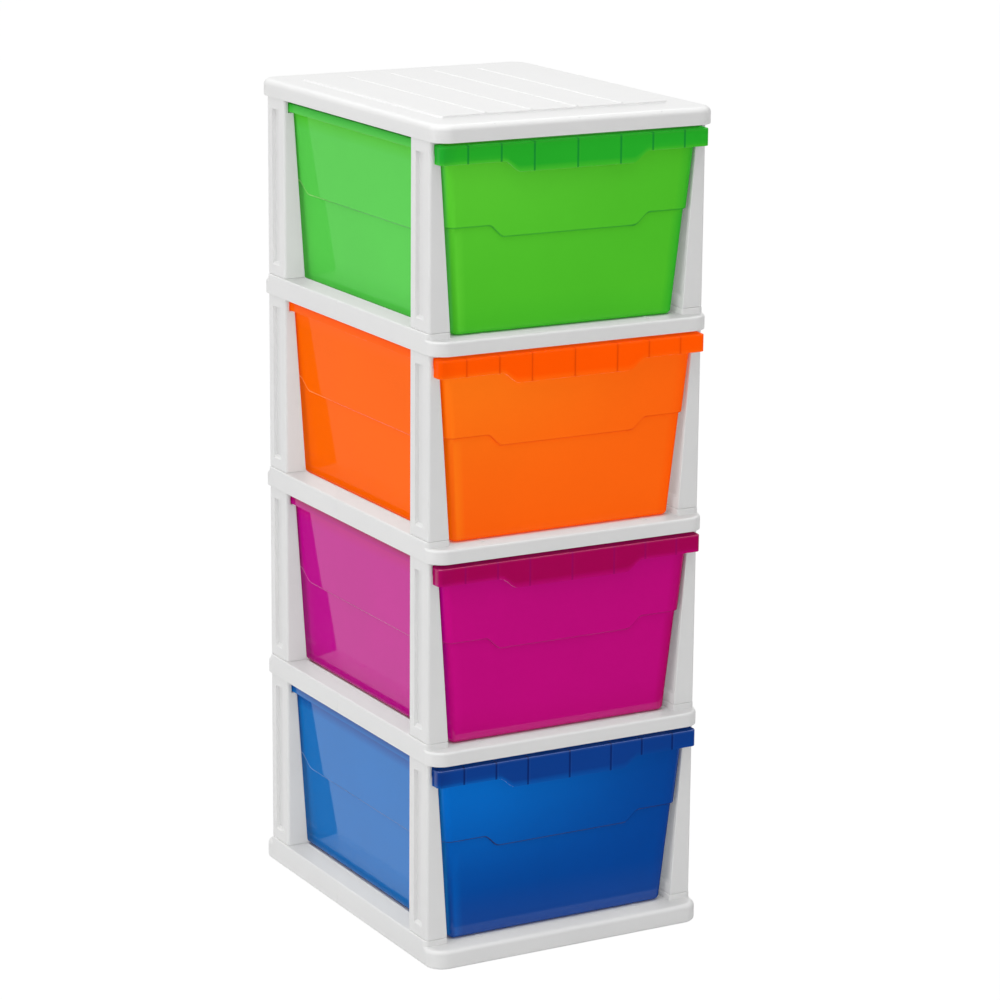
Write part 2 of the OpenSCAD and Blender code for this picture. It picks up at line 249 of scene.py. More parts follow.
def tray(name, depth, z, bottom, ledge_r, foot_r, rib_low):
    """A tray whose deck is DECK_Z above height z. Its foot ends at bottom and the ribs under its
    deck at rib_low, both counted from z; ledge_r and foot_r round its upper and lower edges."""
    bm = bmesh.new()
    half = depth / 2
    side = RAIL_END - RAIL_FADE
    outline = []
    corners = box_plan(-TRAY_W / 2, TRAY_W / 2, -half, half, TRAY_R, 16)
    for (p, normal), (q, _) in zip(corners, corners[1:] + corners[:1]):
        outline.append((p, normal))
        if abs(p.x - q.x) < 1e-4:
            way = 1 if q.y > p.y else -1
            stops = [(-RAIL_END, 0), (-side, 0)]
            stops += [(PARTING_Y + off, dent) for off, dent in PARTING]
            stops += [(side, 0), (RAIL_END, 0)]
            outline += [(Vector((p.x, stop)) - normal * dent, normal)
                        for stop, dent in stops[::way] if abs(stop) < abs(p.y)]

    def edge_r(point):
        """The top edge is rounded along the ledges and runs out where the rails begin."""
        t = (abs(point.y) - side) / (RAIL_END - side)
        return CRISP_R + (ledge_r - CRISP_R) * min(1, max(0, t))

    cavity = max(WALL, foot_r + 0.4)
    rings = [loop(outline, z + DECK_Z - WALL, cavity + 1), loop(outline, z + bottom, cavity)]
    rings += [loop(outline, z + bottom + lift, inset) for inset, lift in reversed(arc(foot_r, 3))]
    for inset, drop in arc(1.0, 5):
        rings.append(loop(outline, lambda p, d=drop: z + DECK_Z - edge_r(p) * d,
                          lambda p, i=inset: edge_r(p) * i))
    skin(bm, rings)
    # side rails
    for s in (-1, 1):
        xs = sorted((s * RAIL_IN, s * (TRAY_W / 2 - RAIL_SET_IN)))
        radii = (RAIL_OUTER_R, RAIL_INNER_R)[::s]
        corners = [(xs[1], -RAIL_END, radii[0]), (xs[1], RAIL_END, radii[0]),
                   (xs[0], RAIL_END, radii[1]), (xs[0], -RAIL_END, radii[1])]
        rail = []
        around = plan(corners)
        for (p, normal), (q, _) in zip(around, around[1:] + around[:1]):
            rail.append((p, normal))
            if abs(p.x - q.x) < 1e-4 and abs(p.x) > RAIL_IN + 5:
                way = 1 if q.y > p.y else -1
                rail += [(Vector((p.x, PARTING_Y + off)) - normal * dent, normal)
                         for off, dent in PARTING[::way]]
        rings = [loop(rail, z + DECK_Z - WALL + 0.3)]
        rings += [loop(rail, z + RAIL_Z - drop, inset) for inset, drop in arc(RAIL_R)]
        skin(bm, rings)
    # glide ribs, and stiffening ribs under the deck
    rib_row(bm, 2, (-RIB_X, 0, z + DECK_Z), (2 * RIB_X, 0, 0), (GLIDE_W, 2 * RAIL_END, GLIDE_H))
    tall = DECK_Z - WALL / 2 - rib_low
    middle = z + rib_low + tall / 2
    rib_row(bm, 3, (-RIB_X, 0, middle), (RIB_X, 0, 0), (RIB_T, depth - 2 * cavity, tall))
    rib_row(bm, 3, (0, -RIB_Y, middle), (0, RIB_Y, 0), (TRAY_W - 2 * cavity, RIB_T, tall))
    piece(name, bm, WHITE, "carcass", [name])


tray("base_tray", BASE_D, BASE_DROP, bottom=-BASE_DROP, ledge_r=6.0, foot_r=3.5,
     rib_low=-BASE_DROP)
for level in (1, 2, 3):
    tray(f"shelf_tray_{level}", TRAY_D, BASE_DROP + level * BAY_H, bottom=0.0, ledge_r=3.5,
         foot_r=0.8, rib_low=5.0)

# ---------------------------------------------------------------------------------------------
# Corner posts: sixteen hollow mouldings in the same white polypropylene, plugged into the trays.
# Each widens inwards towards its foot and has rounded outer corners, a long recess in its outer
# face, a channel in its inner face, and a notch at the top for the rim of the drawer.

POST_X, POST_Y, POST_D = 182.9, 212.0, 47.6
POST_FOOT, POST_TOP, POST_R, POST_INNER_R = 28.1, 12.5, 3.5, 1.3
NOTCH_X, NOTCH_LOW, NOTCH_HIGH = 176.6, 228.6, 241.6
# recess in the outer face: depth, width, ends, and how far its edges and ends slope
RECESS_T, RECESS_W, RECESS_EDGE = 4.3, 19.6, 1.0
RECESS_LOW, RECESS_HIGH, RECESS_SILL, RECESS_HEAD = 38.5, BAY_H - 14, 3.6, 1.4
# channel in the inner face, likewise
CHANNEL_T, CHANNEL_NEAR, CHANNEL_FAR, CHANNEL_EDGE = 2.5, 5.0, 42.0, 1.5
CHANNEL_LOW, CHANNEL_HIGH, CHANNEL_SILL = 37.0, NOTCH_LOW - 8, 3.0


def ramp(value, low, high, run, depth):
    """Depth of a recess that starts at low and ends at high, with sloping edges of length run."""
    inside = min(value - low, high - value)
    return depth * min(1.0, max(0.0, inside / run))


def turn(x, y, r, start, steps):
    """Quarter circle about (x, y), counter-clockwise from the start angle in degrees."""
    angles = [math.radians(start + 90 * i / steps) for i in range(steps + 1)]
    return [(x + r * math.cos(a), y + r * math.sin(a)) for a in angles]


def post_ring(z, inset):
    """Section of the front left post at height z, counter-clockwise, in its tray's frame. Its
    first and last points are on the outer face, and inset chamfers its foot."""
    width = POST_FOOT - (POST_FOOT - POST_TOP) * (z - DECK_Z) / (BAY_H - DECK_Z)
    if NOTCH_LOW < z < NOTCH_HIGH:
        width = POST_X - NOTCH_X
    low, w, d = inset, width - inset, POST_D - inset
    outer, inner = POST_R, POST_INNER_R
    points = turn(low + outer, low + outer, outer, 180, 8)
    points += turn(w - inner, low + inner, inner, 270, 4)
    edge = [CHANNEL_EDGE * i / 3 for i in range(4)]
    for v in [CHANNEL_NEAR + off for off in edge] + [CHANNEL_FAR - off for off in edge[::-1]]:
        depth = min(ramp(v, CHANNEL_NEAR, CHANNEL_FAR, CHANNEL_EDGE, CHANNEL_T),
                    ramp(z, CHANNEL_LOW, CHANNEL_HIGH, CHANNEL_SILL, CHANNEL_T))
        points.append((w - depth, v))
    points += turn(w - inner, d - inner, inner, 0, 4)
    points += turn(low + outer, d - outer, outer, 90, 8)
    near, far = POST_D / 2 - RECESS_W / 2, POST_D / 2 + RECESS_W / 2
    edge = [RECESS_EDGE * share for share in (0, 0.2, 0.6, 1)]
    for v in [far - off for off in edge] + [near + off for off in edge[::-1]]:
        depth = min(ramp(v, near, far, RECESS_EDGE, RECESS_T),
                    ramp(z, RECESS_LOW, BAY_H, RECESS_SILL, RECESS_T),
                    ramp(z, 0, RECESS_HIGH, RECESS_HEAD, RECESS_T))
        points.append((low + depth, v))
    return [(-POST_X + u, -POST_Y + v, z) for u, v in points]


# heights of the sections: the chamfered foot, the sills of channel and recess, the shaft, then
# the head of the channel, the notch and the head of the recess
POST_ROWS = [(RAIL_Z, 0.7), (RAIL_Z + 0.25, 0.25), (RAIL_Z + 0.8, 0.0)]
POST_ROWS += [(z, 0.0) for z in (CHANNEL_LOW, 38.0, RECESS_LOW, 39.0, CHANNEL_LOW + CHANNEL_SILL,
                                 41.0, RECESS_LOW + RECESS_SILL, 80.0, 120.0, 160.0, 200.0)]
POST_ROWS += [(NOTCH_LOW - drop, 0.0) for drop in (11, 10, 9, 8, 1, 0, -0.05)]
POST_ROWS += [(RECESS_HIGH - drop, 0.0) for drop in (RECESS_HEAD, 0.9, 0.4, 0)]
POST_ROWS += [(NOTCH_HIGH - 0.05, 0.0), (NOTCH_HIGH, 0.0), (BAY_H, 0.0)]

for level in range(4):
    base = BASE_DROP + level * BAY_H
    for end, back in (("front", 1), ("back", -1)):
        for hand, side in (("left", 1), ("right", -1)):
            rings = [[(side * x, back * y, base + z) for x, y, z in post_ring(h, t)]
                     for h, t in POST_ROWS]
            bm = bmesh.new()
            skin(bm, rings)
            name = f"post_{level + 1}_{end}_{hand}"
            piece(name, bm, WHITE, "carcass", [name], sharp=50)

# ---------------------------------------------------------------------------------------------
# Lid: a white polypropylene cap on the top posts, with a rounded top edge. Its raised panel is
# divided into five strips by four thin moulded lines.

LID_W, LID_D, LID_H, LID_R = 369.6, 467.0, 23.5, 7.5
PANEL_W, PANEL_D, PANEL_H, PANEL_R = LID_W - 68, LID_D - 112, 2.1, 4.0
BEAD_R, BEAD_H = 3.2, 0.8
LID_RIB_LOW, LID_RIB_H = 3.5, 16.0
LID_Z = BASE_DROP + 4 * BAY_H


def bead_row(bm, count, first, step, length, radius):
    """Geometry Nodes: a row of equal round beads, each swept along a straight path."""
    tree = bpy.data.node_groups.new("row of beads", "GeometryNodeTree")
    for name, kind in (("Length", "NodeSocketFloat"), ("Radius", "NodeSocketFloat")):
        tree.interface.new_socket(name, in_out="INPUT", socket_type=kind)
    tree.interface.new_socket("Beads", in_out="OUTPUT", socket_type="NodeSocketGeometry")
    given = add(tree, "NodeGroupInput").outputs
    row = add(tree, "GeometryNodeMeshLine", {"mode": "OFFSET"}, Count=count,
              Start_Location=Vector(first) * 0.001, Offset=Vector(step) * 0.001)
    half = add(tree, "ShaderNodeMath", {"operation": "MULTIPLY"}, i0=given["Length"], i1=0.5)
    back = add(tree, "ShaderNodeMath", {"operation": "MULTIPLY"}, i0=given["Length"], i1=-0.5)
    path = add(tree, "GeometryNodeCurvePrimitiveLine",
               Start=add(tree, "ShaderNodeCombineXYZ", Y=back),
               End=add(tree, "ShaderNodeCombineXYZ", Y=half))
    section = add(tree, "GeometryNodeCurvePrimitiveCircle", Resolution=16, Radius=given["Radius"])
    bead = add(tree, "GeometryNodeCurveToMesh", Curve=path, Profile_Curve=section, Fill_Caps=True)
    beads = add(tree, "GeometryNodeInstanceOnPoints", Points=row, Instance=bead)
    real = add(tree, "GeometryNodeRealizeInstances", Geometry=beads)
    coated = add(tree, "GeometryNodeSetMaterial", Geometry=real, Material=WHITE)
    add(tree, "NodeGroupOutput", i0=coated)
    take(bm, tree, {"Length": length * 0.001, "Radius": radius * 0.001})


bm = bmesh.new()
outline = box_plan(-LID_W / 2, LID_W / 2, -LID_D / 2, LID_D / 2, TRAY_R, 16)
top = LID_Z + LID_H - PANEL_H - BEAD_H
rings = [loop(outline, top - WALL, WALL + 1), loop(outline, LID_Z, WALL)]
rings += [loop(outline, LID_Z + lift, inset) for lift, inset in ((0, 0.6), (0.2, 0.15), (0.7, 0))]
rings += [loop(outline, top - drop, inset) for inset, drop in arc(LID_R, 8)]
skin(bm, rings, high_cap=False)
panel = box_plan(-PANEL_W / 2, PANEL_W / 2, -PANEL_D / 2, PANEL_D / 2, PANEL_R, 16)
rings = [loop(outline, top, LID_R), loop(outline, top, LID_R + 1)]
for inset, lift in ((-1.6, 0), (-1.0, 0.1), (-0.5, 0.35), (0.5, PANEL_H - 0.35),
                    (1.0, PANEL_H - 0.1), (1.6, PANEL_H)):
    # the panel's front and back edges are crisp, its sides slope
    rings.append(loop(panel, top + lift,
                      lambda p, i=inset: i * (0.2 if abs(p.y) > PANEL_D / 2 - 0.1 else 1)))
skin(bm, rings, low_cap=False)
bead_row(bm, 4, (-1.5 * PANEL_W / 5, 0, top + PANEL_H + BEAD_H - BEAD_R), (PANEL_W / 5, 0, 0),
         PANEL_D - 8, BEAD_R)
rib_row(bm, 3, (-RIB_X, 0, LID_Z + LID_RIB_LOW + LID_RIB_H / 2), (RIB_X, 0, 0),
        (RIB_T, LID_D - 2 * WALL - 1, LID_RIB_H))
piece("top_lid", bm, WHITE, "carcass", ["top_lid"])

# ---------------------------------------------------------------------------------------------
# Drawers: four deep bins in tinted translucent polypropylene, one colour each, injection moulded
# with 2 mm walls. The walls lean outwards and step out at half height, where the step line rises
# towards the corners; a rim runs round the sides and back, and a ribbed lip hangs over the front.

FOOT_X, FOOT_FRONT, FOOT_BACK, DRAWER_Z = 146.5, -203.5, 190.0, 18.3
LEAN_X, LEAN_FRONT, LEAN_BACK, SKIN, STEP_OUT = 0.084, 0.06, 0.03787, 2.0, 3.0
MIDDLE_Y, FLOOR_R, CORNER_R = (FOOT_FRONT + FOOT_BACK) / 2, 5.0, 8.0
RIM_Z, RIM_H, RIM_BACK, RIM_X = 240.6, 10.6, 8.0, 176.0
LIP_X, LIP_Y, LIP_Z, LIP_R, LIP_BACK, LIP_EDGE_R = 177.5, 229.0, 239.9, 6.0, 213.5, 1.4
LIP_END_H, LIP_MID_H, LIP_CURVE, LIP_RUN = 21.0, 34.0, 96.0, 22.0
LIP_RIBS = (0, 57, 100, 143)
LIP_RIB_T, LIP_RIB_D = 1.5, 4.0
# how far from a rib's middle its dark line and that line's fade end, a painted highlight runs
# beside it, and the plain lip starts
RIB_LINE, RIB_FADE, RIB_GLINT, RIB_CLEAR = 0.7, 1.7, 2.5, 3.4
# further places along half the lip, closest together where its lower edge curves
LIP_PLACES = (72, 76, 80, 84, 88, 92, 96, 120, 130, 155, LIP_X - LIP_R)
# the step line: its height, rise and middle height, then for front and sides the half length of
# the wall, where along it the line starts to rise, and how far that takes
STEP_LOW, STEP_RISE, STEP_MIDDLE = 129.7, 14.3, 137.0
STEP_FRONT, STEP_SIDE = (143.0, 83.5, 19.0), (193.0, 153.0, 25.0)
# section of the step: height from the step line, step outwards, and strength of its painted shadow
# line
STEP_SECTION = [(-8, 0, 0.0), (-1.8, 0, 0.0), (-1.2, 0, 0.5), (-0.35, 0.12, 1.0), (0, 0.5, 1.0),
                (0.25, STEP_OUT - 0.6, 1.0), (0.8, STEP_OUT - 0.1, 1.0), (1.6, STEP_OUT, 0.5),
                (2.2, STEP_OUT, 0.0), (8, STEP_OUT, 0.0)]
# places along half a wall, closest together where the step line rises
ACROSS = [0, 0.3, 0.5] + [0.56 + 0.02 * i for i in range(10)] + [0.85, 0.93, 1]
DEEP = [0, 0.4, 0.7] + [0.79 + 0.0165 * i for i in range(10)] + [0.97, 1]


def ease(t):
    t = min(1.0, max(0.0, t))
    return t * t * (3 - 2 * t)


def step_z(px, py):
    """Height of the step line: low along the middle of each wall, higher near its ends. A place
    on the outline runs from -1 to 1 along each wall."""
    place, (half, start, run) = (px, STEP_FRONT) if abs(py) == 1 else (py, STEP_SIDE)
    return STEP_LOW + STEP_RISE * ease((abs(place) * half - start) / run)


def drawer_ring(z_of, grow_of):
    """Ring round the drawer. Its points keep their place along the walls at every height;
    z_of(place) and grow_of(normal) give each point's height and its step outwards."""
    across = [-t for t in reversed(ACROSS[1:])] + ACROSS
    deep = [-t for t in reversed(DEEP[1:])] + DEEP
    half_w, half_d = FOOT_X - CORNER_R, (FOOT_BACK - FOOT_FRONT) / 2 - CORNER_R
    walls = ([(t, -1) for t in across], [(1, t) for t in deep],
             [(-t, 1) for t in across], [(-1, -t) for t in deep])
    ring = []
    for k, wall in enumerate(walls):
        start = 90 * k - 90
        angles = [start] * len(wall) + [start + 90 * i / 8 for i in range(1, 8)]
        for (px, py), angle in zip(wall + [wall[-1]] * 7, angles):
            normal = Vector((math.cos(math.radians(angle)), math.sin(math.radians(angle))))
            z = z_of(px, py)
            rise = z - DRAWER_Z
            out = CORNER_R + grow_of(normal)
            lean = LEAN_FRONT if py < 0 else LEAN_BACK
            ring.append((px * (half_w + LEAN_X * rise) + normal.x * out,
                         MIDDLE_Y + py * (half_d + lean * rise) + normal.y * out, z))
    return ring


def drawer_body(bm, z0):
    """Closed shell of the bin, from its outer floor up, over the rim and down to the inside."""
    def at(z, grow):
        return drawer_ring(lambda px, py: z, lambda normal: grow)

    def step(rise, grow):
        return drawer_ring(lambda px, py: step_z(px, py) + rise, lambda normal: grow)

    def rim(z, cut):
        """The rim stands out a little at the sides, more at the back, and not at the front."""
        side = RIM_X - FOOT_X - LEAN_X * (z - DRAWER_Z) - STEP_OUT
        return drawer_ring(lambda px, py: z, lambda normal: STEP_OUT - cut + side * normal.x ** 2
                           + RIM_BACK * max(0, normal.y) ** 2)

    low, inner = RIM_Z - RIM_H, STEP_OUT - SKIN
    rings = [at(DRAWER_Z + rise, -inset) for inset, rise in reversed(arc(FLOOR_R, 6))]
    rings += [at(60, 0), at(95, 0)]
    first = len(rings)
    rings += [step(rise, grow) for rise, grow, _ in STEP_SECTION]
    rings += [at(z, STEP_OUT) for z in (180, 210, low - 0.6)]
    rings += [rim(low, 0.5), rim(low + 0.2, 0.1), rim(low + 0.8, 0), rim(RIM_Z - 3, 0),
              rim(RIM_Z - 1.4, 0), rim(RIM_Z - 0.5, 0.35), rim(RIM_Z, 1.3)]
    rings += [at(RIM_Z, inner + 0.4), at(RIM_Z - 0.5, inner), at(210, inner), at(180, inner)]
    rings += [step(10, inner), step(3, inner), step(0.5, 1.2 - SKIN), step(-1, -SKIN),
              step(-8, -SKIN), at(95, -SKIN), at(60, -SKIN)]
    rings += [at(DRAWER_Z + SKIN + rise, -SKIN - inset) for inset, rise in arc(FLOOR_R - SKIN, 5)]
    line = bm.verts.layers.float.new("line")
    rows = skin(bm, [[(x, y, z + z0) for x, y, z in ring] for ring in rings])
    for row, (_, _, strength) in zip(rows[first:], STEP_SECTION):
        for vert in row:
            vert[line] = strength


def lip_low(x):
    """Height of the lip's lower edge."""
    return LIP_Z - LIP_END_H - (LIP_MID_H - LIP_END_H) * ease((LIP_CURVE - abs(x)) / LIP_RUN)


def lip_body(bm, z0):
    """Front lip: a plate that hangs from a narrow top flange and turns back at its two ends."""
    xs = {0.0}
    for rib in LIP_RIBS:
        for off in (RIB_LINE, RIB_FADE, RIB_GLINT, RIB_CLEAR):
            xs |= {rib + off, rib - off, -rib + off, -rib - off}
    for x in LIP_PLACES:
        xs |= {x, -x}
    xs = sorted(x for x in xs if abs(x) <= LIP_X - LIP_R)

    def corner(x, start):
        middle = Vector((x, -LIP_Y + LIP_R))
        return [(middle + Vector(n) * LIP_R, Vector(n)) for n in turn(0, 0, 1, start, 8)]

    path = [(Vector((-LIP_X, -LIP_BACK)), Vector((-1, 0)))]
    path += corner(-LIP_X + LIP_R, 180)
    path += [(Vector((x, -LIP_Y)), Vector((0, -1))) for x in xs[1:-1]]
    path += corner(LIP_X - LIP_R, 270)
    path.append((Vector((LIP_X, -LIP_BACK)), Vector((1, 0))))
    columns = []
    for point, n in path:
        low, high = lip_low(point.x), LIP_Z - 3.0
        column = []

        def put(inset, z):
            column.append((point.x - n.x * inset, min(point.y - n.y * inset, -LIP_BACK), z + z0))

        for inset, drop in reversed(arc(LIP_EDGE_R, 3)):
            put(inset, LIP_Z - drop)
        put(0, high)
        for share in (0.75, 0.5, 0.25):
            put(0, low + (high - low) * share)
        put(0, low + 0.7)
        put(0.2, low + 0.15)
        put(0.7, low)
        put(SKIN - 0.5, low)
        put(SKIN, low + 0.4)
        put(SKIN, LIP_Z - SKIN - 0.6)
        put(SKIN + 0.6, LIP_Z - SKIN)
        for z in (LIP_Z - SKIN, LIP_Z):
            column.append((point.x * (LIP_X - 4) / LIP_X, -LIP_BACK, z + z0))
        columns.append(column)
    skin(bm, columns)


# Tinted translucent polypropylene, glossy from a polished tool. A painted glow (emission) stands
# in for the light that gets inside the dye. The lip and rim, where the plastic is doubled, read
# deeper in colour, as does the foot. The right front corner is painted deeper as shade and the
# step line is a painted shadow. As painted light, the front is lighter towards its upper left and
# the side and back walls are paler, and painted highlights run along thin edges and the left front
# corner. The wall's tone drifts over about 140 mm and its face has a ripple of about 80 mm. For
# the light it bounces onto its white neighbours and for its image in their gloss, its colour is
# painted a neutral grey, while its image in its own step and lip, a few millimetres away, keeps
# its colour.
def tinted_polypropylene(dye):
    material = bpy.data.materials.new(dye["name"] + " moulded polypropylene")
    material.use_nodes = True
    tree = material.node_tree
    tree.nodes.clear()
    where = add(tree, "ShaderNodeTexCoord").outputs["Object"]
    clouds = add(tree, "ShaderNodeTexNoise", Vector=where, Scale=7.0, Detail=2.0, Roughness=0.5)
    ripple = add(tree, "ShaderNodeTexNoise", Vector=where, Scale=12.0, Detail=1.0, Roughness=0.4)

    def layer(name):
        return add(tree, "ShaderNodeAttribute", {"attribute_name": name}).outputs["Fac"]

    # painted light and shade over the wall's tone: a lighter front, paler side and back walls,
    # deeper doubled plastic with painted shade, rib lines with the step's painted shadow, and
    # painted highlights
    tone = add(tree, "ShaderNodeMix", {"data_type": "RGBA"}, Factor=layer("lit"),
               A=linear(dye["wall"]), B=linear(dye["lit"]))
    for name in ("side", "thick_and_shade", "line", "glint"):
        tone = add(tree, "ShaderNodeMix", {"data_type": "RGBA"}, Factor=layer(name), A=tone,
                   B=linear(dye[name]))
    shade = add(tree, "ShaderNodeMapRange", Value=clouds, To_Min=0.94, To_Max=1.05)
    tone = add(tree, "ShaderNodeMix", {"data_type": "RGBA", "blend_type": "MULTIPLY"},
               Factor=1.0, A=tone, B=shade)
    # painted bounce light: for diffuse and glossy rays that have travelled more than a few
    # millimetres the colour is painted a neutral grey
    rays = add(tree, "ShaderNodeLightPath").outputs
    grey_bounce = add(tree, "ShaderNodeMath", {"operation": "ADD"}, i0=rays["Is Diffuse Ray"],
                 i1=rays["Is Glossy Ray"])
    away = add(tree, "ShaderNodeMapRange", Value=rays["Ray Length"], From_Min=0.003,
               From_Max=0.008, To_Min=0.0, To_Max=0.85)
    grey_bounce = add(tree, "ShaderNodeMath", {"operation": "MULTIPLY"}, i0=grey_bounce, i1=away)
    tone = add(tree, "ShaderNodeMix", {"data_type": "RGBA"}, Factor=grey_bounce, A=tone,
               B=linear("#D8D8D8"))
    # painted glow: emission in the wall's tone stands in for light inside the plastic, stronger on
    # the lip's flange top
    glowing = add(tree, "ShaderNodeMapRange", Value=layer("glow"), To_Min=dye["glow"],
                  To_Max=dye["edge_glow"])
    bump = add(tree, "ShaderNodeBump", Strength=0.15, Distance=0.0006, Height=ripple)
    plastic = add(tree, "ShaderNodeBsdfPrincipled", Base_Color=tone, Roughness=0.05, IOR=1.49,
                  Specular_IOR_Level=dye["gloss"], Emission_Color=tone, Emission_Strength=glowing,
                  Normal=bump)
    add(tree, "ShaderNodeOutputMaterial", Surface=plastic)
    return material


def lip_marks(x, y, z):
    """The lip is palest low down and dark along its ribs; its edges get painted highlights, its
    top a painted glow.
    """
    low = lip_low(x)
    off = min((x - s * rib for rib in LIP_RIBS for s in (-1, 1)), key=abs)
    line, glint = 0.3 * ease((-LIP_X + 10 - x) / 6), 0.0
    if y < -LIP_Y + 7 and abs(x) < LIP_X - 10:
        line = 0.8 * max(0.0, 1 - max(0.0, abs(off) - RIB_LINE))
        # painted highlight beside each rib
        glint = 0.02 * (abs(off - RIB_GLINT) < 0.2)
    # painted highlights along the lip's lower and upper edges
    glint = max(glint, 0.02 * (z < low + 0.3), 0.04 * (LIP_Z - 2.2 < z < LIP_Z - 0.8))
    # painted glow on the lip's flange top, which sits in shade under the tray above
    return {"thick_and_shade": 0.45 + 0.55 * ease((z - low) / 6), "line": line, "glint": glint,
            "glow": float(z > LIP_Z - 0.3)}


def bin_marks(x, y, z, line, at_front, step_shade):
    """Rim and foot are deep in colour and the right front corner is painted deeper as shade. The
    step line is a painted shadow of the given strength, stronger where it climbs on the right, and
    turns into a painted highlight towards the back of the sides; the left front corner gets a
    painted highlight band."""
    rise = z - DRAWER_Z
    from_edge = FOOT_X + LEAN_X * rise + STEP_OUT * (z > STEP_MIDDLE) - abs(x)
    # deeper colour at the rim and foot; on the right front corner it is painted shade
    thick_and_shade = max((0.15 + 0.7 * ease((z - RIM_Z + 6) / 4)) * (z > RIM_Z - RIM_H - 0.4),
                0.5 * ease(1 - rise / 8),
                0.9 * ease(1 - from_edge / 19) * (at_front and x > 0))
    glint = 0.0
    # the step line: a painted shadow, which turns into a painted highlight towards the back of the
    # sides
    if line and abs(x) > FOOT_X + LEAN_X * rise - 1:
        backward = ease((y - 110) / 30)
        glint = 0.9 * backward * (line == 1 or y > 146)
        line = 0.5 * (line == 1) * (1 - backward)
    else:
        climbing = ease(1.5 - abs(abs(x) - 96) / 12) * (x > 0)
        line = min(1.0, step_shade * (line == 1) + 0.5 * line * climbing)
    # band: a painted highlight down the left front corner
    return {"thick_and_shade": thick_and_shade, "line": line, "glint": glint,
            "band": ease(1 - abs(from_edge - 8) / 5) * (x < 0)}


def mark(mesh, z0, step_shade, corner):
    """Stores where the plastic is doubled or ribbed, and where light, shade and glow are painted
    on it.
    """
    values = {layer: [] for layer in ("thick_and_shade", "lit", "line", "side", "glint", "glow")}
    kept = mesh.attributes["line"].data
    for v in mesh.vertices:
        x, y, z = v.co.x * 1000, v.co.y * 1000, v.co.z * 1000 - z0
        at_front = y < FOOT_FRONT + 6
        if y < -LIP_Y + 7 or abs(x) > LIP_X - 7 and y < 0.1 - LIP_BACK:
            marks = lip_marks(x, y, z)
        else:
            marks = bin_marks(x, y, z, kept[v.index].value, at_front, step_shade)
        if at_front:
            # painted light: the front lighter towards its upper left, and the painted highlight
            # band on the left front corner
            marks["lit"] = max(ease((z - 30) / 230) * ease((190 - x) / 330),
                               corner * marks.get("band", 0.0))
        # painted light: side and back walls paler
        marks["side"] = ease((max(abs(v.normal.x), v.normal.y) - 0.75) / 0.2)
        for layer, numbers in values.items():
            numbers.append(marks.get(layer, 0.0))
    mesh.attributes.remove(mesh.attributes["line"])
    for layer, numbers in values.items():
        mesh.attributes.new(layer, "FLOAT", "POINT").data.foreach_set("value", numbers)


# colours, in turn: the plain wall, painted light on the front and left corner, painted light on
# the side and back walls, doubled plastic of lip, rim and foot with painted shade on the right
# front corner, the rib lines and the step's painted shadow, and painted highlights; the two
# numbers after the name are the strengths of the step's painted shadow and of the painted
# highlight on the left front corner; glow and edge_glow are a painted glow (emission) standing in
# for light from inside, on the walls and on the lip's top edge
DYES = (
    {"name": "blue", "step_shade": 1.0, "corner": 0.35, "wall": "#00449A", "lit": "#0074D6",
     "side": "#1374C4", "thick_and_shade": "#0A3E90", "line": "#061E5E", "glint": "#9CC4F4",
     "glow": 0.15, "edge_glow": 0.15, "gloss": 0.62},
    {"name": "magenta", "step_shade": 0.5, "corner": 0.9, "wall": "#C80581", "lit": "#CC0885",
     "side": "#C60092", "thick_and_shade": "#AA0055", "line": "#9C0462", "glint": "#E474BC",
     "glow": 0.15, "edge_glow": 0.25, "gloss": 0.5},
    {"name": "orange", "step_shade": 0.5, "corner": 0.9, "wall": "#F86210", "lit": "#FC7616",
     "side": "#F26100", "thick_and_shade": "#FC5402", "line": "#D04404", "glint": "#FF9C50",
     "glow": 0.30, "edge_glow": 0.60, "gloss": 0.05},
    {"name": "green", "step_shade": 0.45, "corner": 0.9, "wall": "#51C62B", "lit": "#60D436",
     "side": "#58CE4E", "thick_and_shade": "#28B22B", "line": "#148834", "glint": "#A4E47C",
     "glow": 0.15, "edge_glow": 0.60, "gloss": 0.12},
)
for level, dye in enumerate(DYES):
    name = f"drawer_{level + 1}"
    z0 = BASE_DROP + level * BAY_H
    plastic = tinted_polypropylene(dye)
    bm = bmesh.new()
    drawer_body(bm, z0)
    lip_body(bm, z0)
    # the strip that joins the front wall to the lip
    reach = RIM_X - 20
    box(bm, -reach, reach, -LIP_BACK - 5.8, -LIP_BACK - 3.8, z0 + RIM_Z - 4, z0 + LIP_Z - 0.05)
    # ribs behind the lip: three in its deep middle, two towards each end
    _, near, outer, last = LIP_RIBS
    for count, first, gap, lip_h in ((3, -near, near, LIP_MID_H),
                                     (2, -last, last - outer, LIP_END_H),
                                     (2, outer, last - outer, LIP_END_H)):
        tall = lip_h - SKIN
        start = (first, -LIP_Y + SKIN + LIP_RIB_D / 2 - 0.5, z0 + LIP_Z - SKIN - tall / 2 + 0.5)
        rib_row(bm, count, start, (gap, 0, 0), (LIP_RIB_T, LIP_RIB_D, tall - 1), plastic)
    solids = [name, name + "_rim", name + "_lip"]
    made = piece(name, bm, plastic, name + "_body", solids)
    mark(made.data, z0, dye["step_shade"], dye["corner"])

# ---------------------------------------------------------------------------------------------
# Studio: a plain white paper floor that keeps a faint shadow, a white surround, two soft lamps and
# the camera at the front left, slightly above the lid. In gloss, floor and surround are dark in
# front of the tower and bright behind it, and the surround is brightest above.

